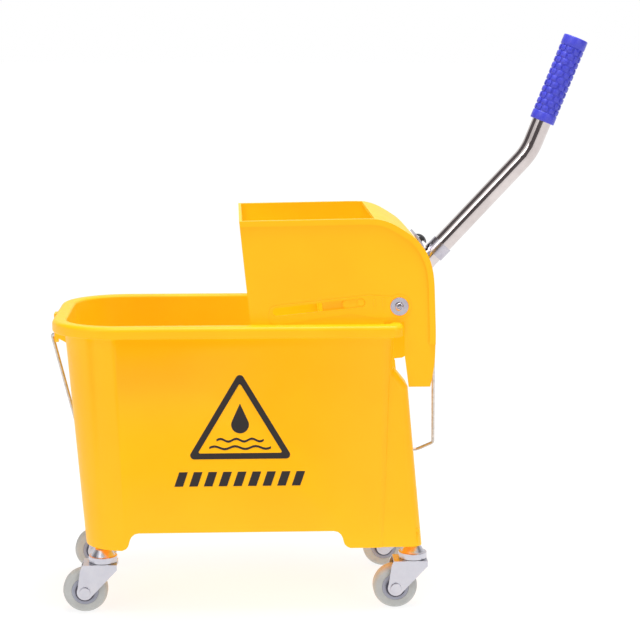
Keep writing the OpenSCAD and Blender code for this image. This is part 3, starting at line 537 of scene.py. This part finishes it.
def lug_mesh(name, width, height, proud):
    """A pillow with a flat back, as an object that is not in the scene: rings of eight points and a top."""
    shape = bmesh.new()
    loops = []
    for share, lift in [(1.0, 0.0), (0.98, 0.45), (0.72, 0.9)]:
        loops.append([shape.verts.new((proud * lift, share * width / 2 * squarish(math.cos(a)),
                                       share * height / 2 * squarish(math.sin(a))))
                      for a in [math.radians(22.5 + 45 * k) for k in range(8)]])
    for low, high in zip(loops, loops[1:]):
        for k in range(8):
            shape.faces.new((low[k], low[(k + 1) % 8], high[(k + 1) % 8], high[k]))
    top = shape.verts.new((proud, 0, 0))
    for k in range(8):
        shape.faces.new((loops[-1][k], loops[-1][(k + 1) % 8], top))
    shape.faces.new(reversed(loops[0]))
    bmesh.ops.recalc_face_normals(shape, faces=shape.faces)
    mesh = bpy.data.meshes.new(name)
    shape.to_mesh(mesh)
    shape.free()
    mesh.shade_smooth()
    return bpy.data.objects.new(name, mesh)


def wrap_tree(name, finish):
    """Rows of lugs around a tube along Z. Inputs: Lug, Rows, Around, Radius, Length."""
    group = bpy.data.node_groups.new(name, "GeometryNodeTree")
    group.interface.new_socket("Geometry", in_out="INPUT", socket_type="NodeSocketGeometry")
    for label, kind in (("Lug", "NodeSocketObject"), ("Rows", "NodeSocketInt"), ("Around", "NodeSocketInt"),
                        ("Radius", "NodeSocketFloat"), ("Length", "NodeSocketFloat")):
        group.interface.new_socket(label, in_out="INPUT", socket_type=kind)
    group.interface.new_socket("Geometry", in_out="OUTPUT", socket_type="NodeSocketGeometry")
    given = group.nodes.new("NodeGroupInput").outputs

    def math_node(operation, *values):
        return add(group, "ShaderNodeMath", dict(enumerate(values)), operation=operation).outputs["Value"]

    count = math_node("MULTIPLY", given["Rows"], given["Around"])
    points = add(group, "GeometryNodeMeshLine", {"Count": count}).outputs["Mesh"]
    index = add(group, "GeometryNodeInputIndex").outputs["Index"]
    row = math_node("FLOOR", math_node("DIVIDE", math_node("ADD", index, 0.5), given["Around"]))
    seat = math_node("SUBTRACT", index, math_node("MULTIPLY", row, given["Around"]))
    shifted = math_node("ADD", seat, math_node("MULTIPLY", math_node("MODULO", row, 2.0), 0.5))
    angle = math_node("MULTIPLY", math_node("DIVIDE", shifted, given["Around"]), 2 * math.pi)
    height = math_node("MULTIPLY", math_node("DIVIDE", math_node("ADD", row, 0.5), given["Rows"]), given["Length"])
    place = add(group, "ShaderNodeCombineXYZ", {"X": math_node("MULTIPLY", math_node("COSINE", angle), given["Radius"]),
                                                "Y": math_node("MULTIPLY", math_node("SINE", angle), given["Radius"]),
                                                "Z": height}).outputs["Vector"]
    placed = add(group, "GeometryNodeSetPosition", {"Geometry": points, "Position": place}).outputs["Geometry"]
    lug = add(group, "GeometryNodeObjectInfo", {"Object": given["Lug"]}).outputs["Geometry"]
    spin = add(group, "ShaderNodeCombineXYZ", {"Z": angle}).outputs["Vector"]
    lugs = add(group, "GeometryNodeInstanceOnPoints", {"Points": placed, "Instance": lug, "Rotation": spin})
    real = add(group, "GeometryNodeRealizeInstances", {"Geometry": lugs.outputs["Instances"]}).outputs["Geometry"]
    dressed = add(group, "GeometryNodeSetMaterial", {"Geometry": real, "Material": finish}).outputs["Geometry"]
    add(group, "NodeGroupOutput", {"Geometry": dressed})
    return group


def mesh_of(group, **inputs):
    """Runs a node tree on an empty mesh, with its inputs set by identifier, and returns the plain mesh."""
    carrier = bpy.data.objects.new(group.name, bpy.data.meshes.new(group.name))
    bpy.context.scene.collection.objects.link(carrier)
    modifier = carrier.modifiers.new("tree", "NODES")
    modifier.node_group = group
    for item in group.interface.items_tree:
        if item.in_out == "INPUT" and item.name in inputs:
            modifier[item.identifier] = inputs[item.name]
    carrier.update_tag()
    mesh = bpy.data.meshes.new_from_object(carrier.evaluated_get(bpy.context.evaluated_depsgraph_get()))
    bpy.data.objects.remove(carrier)
    return mesh


# %% [markdown]
# A turned profile is the quickest honest way to make anything round: list the radius at each height, and spin it. A
# radius of zero closes an end, and a list that comes back down the inside makes a sleeve with a real wall.

# %% Turned shapes
def turned(shape, profile, steps=48):
    """Spins (radius, height) pairs about Z into the bmesh, and returns the new verts."""
    rings = []
    for radius, height in profile:
        if radius < 1e-7:
            rings.append([shape.verts.new((0, 0, height))])
        else:
            rings.append([shape.verts.new((radius * math.cos(2 * math.pi * k / steps),
                                           radius * math.sin(2 * math.pi * k / steps), height)) for k in range(steps)])
    for low, high in zip(rings, rings[1:]):
        for k in range(steps):
            a, b = (low[k % len(low)], low[(k + 1) % len(low)]), (high[k % len(high)], high[(k + 1) % len(high)])
            corners = list(dict.fromkeys((a[0], a[1], b[1], b[0])))
            if len(corners) > 2:
                shape.faces.new(corners)
    return [v for ring in rings for v in ring]


# %% The blue grip
GRIP_SLOPE = math.radians(68.2)
GRIP_R, TUBE_R, LUG_PROUD, SLEEVE_GAP, END_WALL = 0.01425, 0.0110, 0.0012, 0.00005, 0.003
grip_low, grip_high = (Vector(c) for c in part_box("grip"))
reach = Vector((GRIP_R * math.sin(GRIP_SLOPE), 0, GRIP_R * math.cos(GRIP_SLOPE)))
grip_start, grip_end = grip_low + reach, grip_high - reach
grip_start.y = grip_end.y = 0
GRIP_LENGTH = (grip_end - grip_start).length
COLLAR_LOW, COLLAR_HIGH = 0.0105, 0.0120
skin_r = GRIP_R - LUG_PROUD
bore_r, collar_top = TUBE_R + SLEEVE_GAP, GRIP_LENGTH - COLLAR_HIGH
mouth = [(bore_r, 0.0), (GRIP_R - 0.0008, 0.0), (GRIP_R - 0.0002, 0.0003), (GRIP_R, 0.0010)]
low_collar = [(GRIP_R, COLLAR_LOW - 0.0012), (GRIP_R - 0.0004, COLLAR_LOW - 0.0004), (skin_r, COLLAR_LOW)]
high_collar = [(skin_r, collar_top), (GRIP_R - 0.0004, collar_top + 0.0004), (GRIP_R, collar_top + 0.0012)]
closed_end = [(GRIP_R, GRIP_LENGTH - 0.0012), (GRIP_R - 0.0004, GRIP_LENGTH - 0.0003), (GRIP_R - 0.0012, GRIP_LENGTH),
              (0.0, GRIP_LENGTH), (0.0, GRIP_LENGTH - END_WALL), (bore_r, GRIP_LENGTH - END_WALL)]
grip_shape = bmesh.new()
turned(grip_shape, mouth + low_collar + high_collar + closed_end)
open_edges = [e for e in grip_shape.edges if e.is_boundary]
bmesh.ops.bridge_loops(grip_shape, edges=open_edges)
LUG_ROWS, LUGS_AROUND = 11, 10
lug = lug_mesh("grip_lug", 0.0070, 0.0066, LUG_PROUD)
lug.data.materials.append(grip_vinyl)
lug_rows = mesh_of(wrap_tree("grip_lugs", grip_vinyl), Lug=lug, Rows=LUG_ROWS, Around=LUGS_AROUND,
                   Radius=skin_r - 0.0001, Length=GRIP_LENGTH - COLLAR_LOW - COLLAR_HIGH)
before = set(grip_shape.verts)
grip_shape.from_mesh(lug_rows)
bmesh.ops.translate(grip_shape, verts=[v for v in grip_shape.verts if v not in before], vec=(0, 0, COLLAR_LOW))
axis = (grip_end - grip_start).normalized()
grip_shape.transform(Matrix.Translation(grip_start) @ Vector((0, 0, 1)).rotation_difference(axis).to_matrix().to_4x4())
grip_piece = piece_from(grip_shape, "ribbed_grip", grip_vinyl, "handle", smooth=50.0)
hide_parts("grip")
print(f"grip {GRIP_LENGTH * 1000:.1f} mm long with {LUG_ROWS * LUGS_AROUND} lugs")

# %% [markdown]
# The torsion spring on the handle's pivot is a helix, which Geometry Nodes draw directly: a spiral that does not grow,
# swept by a small circle. Its two straight legs reach down to the plate that rests on the rim.

# %% Return spring
def spring_tree(name, finish):
    """A close coil along Z. Inputs: Turns, Coil Radius, Wire Radius, Height."""
    group = bpy.data.node_groups.new(name, "GeometryNodeTree")
    group.interface.new_socket("Geometry", in_out="INPUT", socket_type="NodeSocketGeometry")
    for label in ("Turns", "Coil Radius", "Wire Radius", "Height"):
        group.interface.new_socket(label, in_out="INPUT", socket_type="NodeSocketFloat")
    group.interface.new_socket("Geometry", in_out="OUTPUT", socket_type="NodeSocketGeometry")
    given = group.nodes.new("NodeGroupInput").outputs
    coil = add(group, "GeometryNodeCurveSpiral", {"Resolution": 40, "Rotations": given["Turns"],
                                                  "Start Radius": given["Coil Radius"],
                                                  "End Radius": given["Coil Radius"], "Height": given["Height"]})
    wire_circle = add(group, "GeometryNodeCurvePrimitiveCircle", {"Resolution": 10, "Radius": given["Wire Radius"]})
    tube = add(group, "GeometryNodeCurveToMesh", {"Curve": coil.outputs["Curve"], "Fill Caps": True,
                                                  "Profile Curve": wire_circle.outputs["Curve"]})
    real = add(group, "GeometryNodeRealizeInstances", {"Geometry": tube.outputs["Mesh"]}).outputs["Geometry"]
    dressed = add(group, "GeometryNodeSetMaterial", {"Geometry": real, "Material": finish}).outputs["Geometry"]
    add(group, "NodeGroupOutput", {"Geometry": dressed})
    return group


spring_low, spring_high = (Vector(c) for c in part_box("return_spring"))
WIRE_R = 0.0013
coil_r = (spring_high.x - spring_low.x) / 2 - WIRE_R
coil_axis = Vector(((spring_low.x + spring_high.x) / 2, 0, spring_high.z - coil_r - WIRE_R))
sizes = {"Turns": 5.5, "Coil Radius": coil_r, "Wire Radius": WIRE_R,
         "Height": spring_high.y - spring_low.y - 2 * WIRE_R}
coil = mesh_of(spring_tree("torsion_coil", spring_steel), **sizes)
spring_shape = bmesh.new()
spring_shape.from_mesh(coil)
coil_start = Matrix.Translation((coil_axis.x, spring_high.y - WIRE_R, coil_axis.z))
spring_shape.transform(coil_start @ Matrix.Rotation(math.pi / 2, 4, "X"))
leg_length = coil_axis.z - spring_low.z
for y in (spring_low.y + WIRE_R, spring_high.y - WIRE_R):
    leg = turned(spring_shape, [(0.0, 0.0), (WIRE_R, 0.0), (WIRE_R, leg_length), (0.0, leg_length)], steps=10)
    bmesh.ops.translate(spring_shape, verts=leg, vec=(coil_axis.x - coil_r, y, spring_low.z))
spring_piece = piece_from(spring_shape, "torsion_spring", spring_steel, "wringer", smooth=50.0)
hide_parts("return_spring")
print(f"spring: coil radius {coil_r * 1000:.1f} mm")

# %% [markdown]
# The pivot is held by a pan-head screw with a cross recess. The recess is made by lowering the points of a fine polar
# grid that fall inside a cross, so there is nothing to cut.

# %% The pan-head screw on the near side
def pan_head(shape, place, radius, rise, recess):
    """A dome that faces -Y with a cross pressed into it; recess is half the cross's width."""
    arm_width, arm_depth, cross_turn = recess * 0.3, rise * 0.62, math.radians(25)
    profile = [(radius * math.sin(a), rise * math.cos(a)) for a in [math.radians(7.5 * k) for k in range(13)]]
    verts = turned(shape, profile, steps=64)
    for v in verts:
        along, across = max(abs(v.co.x), abs(v.co.y)), min(abs(v.co.x), abs(v.co.y))
        if across < arm_width and along < recess:
            v.co.z -= arm_depth
    spin = Matrix.Translation(place) @ Matrix.Rotation(math.pi / 2, 4, "X") @ Matrix.Rotation(cross_turn, 4, "Z")
    for v in verts:
        v.co = spin @ v.co


bolt_low, bolt_high = (Vector(c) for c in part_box("pivot_rod"))
pivot = Vector(((bolt_low.x + bolt_high.x) / 2, bolt_low.y, (bolt_low.z + bolt_high.z) / 2))
screw = bmesh.new()
pan_head(screw, pivot + Vector((0, 0.0001, 0)), radius=0.0044, rise=0.0014, recess=0.0026)
piece_from(screw, "pivot_screw_head", bright, "wringer", smooth=28.0)
print("pivot at", [round(v, 4) for v in pivot])
